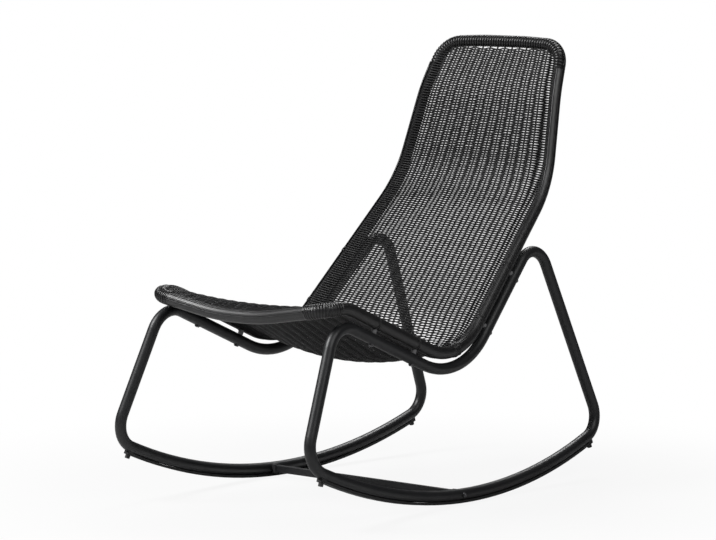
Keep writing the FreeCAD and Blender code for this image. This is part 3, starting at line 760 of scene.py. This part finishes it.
def moulded(name, dark, light, worn):
    """Matte moulded plastic with a fine spark-eroded grain."""
    n = Nodes(name)
    colour = n.blend(n.noise(40, 4), dark, light)
    dust = n.ramp(n.noise(25, 5), 0.58, 0.72, 0, 0.4)
    colour = n.blend(dust, colour, worn)
    roughness = n.ramp(n.noise(90, 3), 0.3, 0.7, 0.52, 0.68)
    return n.surface(colour, roughness, n.bump(n.noise(2200, 2), 0.35, 0.0002))


def black_steel():
    """Blackened bolt steel, rubbed brighter in places."""
    n = Nodes("black_steel")
    rub = n.ramp(n.noise(300, 4), 0.5, 0.7, 0, 1)
    colour = n.blend(rub, (0.10, 0.10, 0.105), (0.30, 0.30, 0.31))
    n.shader.inputs["Metallic"].default_value = 0.9
    roughness = n.ramp(n.noise(500, 3), 0.3, 0.7, 0.30, 0.48)
    return n.surface(colour, roughness, n.bump(n.noise(1800, 2), 0.2, 0.0001))


def plain_steel():
    """Plated steel of the inserts and plugs."""
    n = Nodes("plated_steel")
    colour = n.blend(n.noise(200, 4), (0.50, 0.50, 0.51), (0.62, 0.62, 0.63))
    n.shader.inputs["Metallic"].default_value = 1.0
    roughness = n.ramp(n.noise(400, 3), 0.3, 0.7, 0.28, 0.42)
    return n.surface(colour, roughness, n.bump(n.noise(1200, 2), 0.2, 0.0001))


MATERIALS = {
    "frame_tube": powder_coat(),
    "resin_wicker": wicker("resin_wicker", False),
    "moulded_trim": moulded(
        "moulded_plastic", (0.012, 0.012, 0.013), (0.022, 0.022, 0.023), (0.045, 0.044, 0.042)),
    "fastener": black_steel(),
    "insert": plain_steel(),
}
LAID_STRAND = wicker("laid_strand", True)
# The spacers are a lighter grey than their own dark plastic: a painted highlight standing in for the
# glints on them.
SPACER_PAINTED_HIGHLIGHT = moulded(
    "spacer_painted_highlight", (0.16, 0.16, 0.165), (0.22, 0.22, 0.225), (0.28, 0.28, 0.28))


def finish_cad_nodes():
    """Each carried-over node gets its slot's material, save the spacers, which get a lighter grey as a
    painted highlight.
    """
    for subpart in frame["record"]["subparts"]:
        node = frame["nodes"][subpart["node"]]
        node.data.materials.clear()
        # Spacers take the lighter grey of the painted highlight.
        spacer = "spacer" in subpart["node"]
        node.data.materials.append(SPACER_PAINTED_HIGHLIGHT if spacer else MATERIALS[subpart["material_slot"]])
        node.data.polygons.foreach_set("use_smooth", np.ones(len(node.data.polygons), bool))


# Camera, with its azimuth in degrees round from the chair's front
CAMERA_AZIMUTH = 41.0
CAMERA_ELEVATION = 6.078
CAMERA_DISTANCE = 7.9638
CAMERA_LENS = 180.19
CAMERA_SENSOR = 36.0
CAMERA_AIM = (-0.0615, 0.0423, 0.4801)


def way_out(azimuth, elevation):
    """The way from the chair to a camera or a lamp."""
    turn, rise = math.radians(azimuth), math.radians(elevation)
    return Vector((math.sin(turn) * math.cos(rise), -math.cos(turn) * math.cos(rise), math.sin(rise)))


def build_camera():
    turn = math.radians(CAMERA_AZIMUTH)
    back = way_out(CAMERA_AZIMUTH, CAMERA_ELEVATION)
    right = Vector((math.cos(turn), math.sin(turn), 0))
    up = back.cross(right)
    data = bpy.data.cameras.new("camera")
    data.lens = CAMERA_LENS
    data.sensor_width = CAMERA_SENSOR
    data.sensor_fit = "HORIZONTAL"
    data.clip_end = 50.0
    camera = bpy.data.objects.new("camera", data)
    bpy.context.scene.collection.objects.link(camera)
    camera.matrix_world = Matrix.Translation(Vector(CAMERA_AIM) + back * CAMERA_DISTANCE) @ Matrix(
        (right, up, back)).transposed().to_4x4()
    bpy.context.scene.camera = camera


# Studio
FLOOR_HALF = 30.0
FLOOR_COLOUR = (0.5, 0.5, 0.5, 1)
FLOOR_ROUGHNESS = 0.9
FLOOR_GLOSS = 0.1
FLOOR_WHITE_SHARE = 0.9  # share of plain white in the floor as the camera sees it
WORLD_STRENGTH = 0.05
FADE_FROM = 0.5  # from the object's middle, where the floor starts to turn plain white
FADE_TO = 1.3
LAMPS = {  # azimuth and elevation in degrees, distance and size in metres, and watts
    "key": (-32, 42, 3.6, 1.3, 140),
    "fill": (75, 40, 4.5, 2.4, 60),
    "back": (-150, 50, 4.5, 1.6, 90),
}
LAMP_AIM = (0, 0, 0.5)


def seen_share(tree):
    """1 for what the camera or a clear surface sees directly, and 0 for light."""
    path = tree.nodes.new("ShaderNodeLightPath")
    both = tree.nodes.new("ShaderNodeMath")
    both.operation = "MAXIMUM"
    tree.links.new(path.outputs["Is Camera Ray"], both.inputs[0])
    tree.links.new(path.outputs["Is Transmission Ray"], both.inputs[1])
    return both.outputs[0]


def build_floor():
    mesh = bpy.data.meshes.new("studio_floor")
    corners = [(x * FLOOR_HALF, y * FLOOR_HALF, 0) for x, y in ((-1, -1), (1, -1), (1, 1), (-1, 1))]
    mesh.from_pydata(corners, [], [(0, 1, 2, 3)])
    floor = bpy.data.objects.new("studio_floor", mesh)
    bpy.context.scene.collection.objects.link(floor)
    material = bpy.data.materials.new("studio_floor")
    material.use_nodes = True
    tree = material.node_tree
    shader = tree.nodes["Principled BSDF"]
    shader.inputs["Base Color"].default_value = FLOOR_COLOUR
    shader.inputs["Roughness"].default_value = FLOOR_ROUGHNESS
    shader.inputs["Specular IOR Level"].default_value = FLOOR_GLOSS
    white = tree.nodes.new("ShaderNodeEmission")
    mix = tree.nodes.new("ShaderNodeMixShader")
    coordinates = tree.nodes.new("ShaderNodeTexCoord")
    away = tree.nodes.new("ShaderNodeVectorMath")
    away.operation = "LENGTH"
    tree.links.new(coordinates.outputs["Object"], away.inputs[0])
    fade = tree.nodes.new("ShaderNodeMapRange")
    fade.interpolation_type = "SMOOTHSTEP"
    fade.inputs["From Min"].default_value = FADE_FROM
    fade.inputs["From Max"].default_value = FADE_TO
    fade.inputs["To Min"].default_value = FLOOR_WHITE_SHARE
    fade.inputs["To Max"].default_value = 1.0
    tree.links.new(away.outputs["Value"], fade.inputs["Value"])
    share = tree.nodes.new("ShaderNodeMath")
    share.operation = "MULTIPLY"
    tree.links.new(fade.outputs["Result"], share.inputs[1])
    tree.links.new(seen_share(tree), share.inputs[0])
    tree.links.new(share.outputs[0], mix.inputs[0])
    tree.links.new(shader.outputs[0], mix.inputs[1])
    tree.links.new(white.outputs[0], mix.inputs[2])
    tree.links.new(mix.outputs[0], tree.nodes["Material Output"].inputs["Surface"])
    mesh.materials.append(material)


def build_world():
    world = bpy.data.worlds.new("studio")
    world.use_nodes = True
    bpy.context.scene.world = world
    tree = world.node_tree
    light = tree.nodes["Background"]
    light.inputs["Color"].default_value = (1, 1, 1, 1)
    light.inputs["Strength"].default_value = WORLD_STRENGTH
    seen = tree.nodes.new("ShaderNodeBackground")
    seen.inputs["Color"].default_value = (1, 1, 1, 1)
    mix = tree.nodes.new("ShaderNodeMixShader")
    tree.links.new(seen_share(tree), mix.inputs[0])
    tree.links.new(light.outputs[0], mix.inputs[1])
    tree.links.new(seen.outputs[0], mix.inputs[2])
    tree.links.new(mix.outputs[0], tree.nodes["World Output"].inputs["Surface"])


def lamp(name, azimuth, elevation, distance, size, power):
    """A square soft lamp aimed at the chair's middle."""
    way = way_out(azimuth, elevation)
    data = bpy.data.lights.new(name, "AREA")
    data.size = size
    data.energy = power
    light = bpy.data.objects.new(name, data)
    bpy.context.scene.collection.objects.link(light)
    light.location = Vector(LAMP_AIM) + way * distance
    light.rotation_euler = way.to_track_quat("Z", "Y").to_euler()


def build_lamps():
    for name, values in LAMPS.items():
        lamp(name, *values)


finish_cad_nodes()
build_stakes()
build_wefts()
build_covers()
build_windings()
build_bindings()
build_joint_ties()
build_camera()
build_floor()
build_world()
build_lamps()
bpy.context.scene.view_settings.view_transform = "Standard"
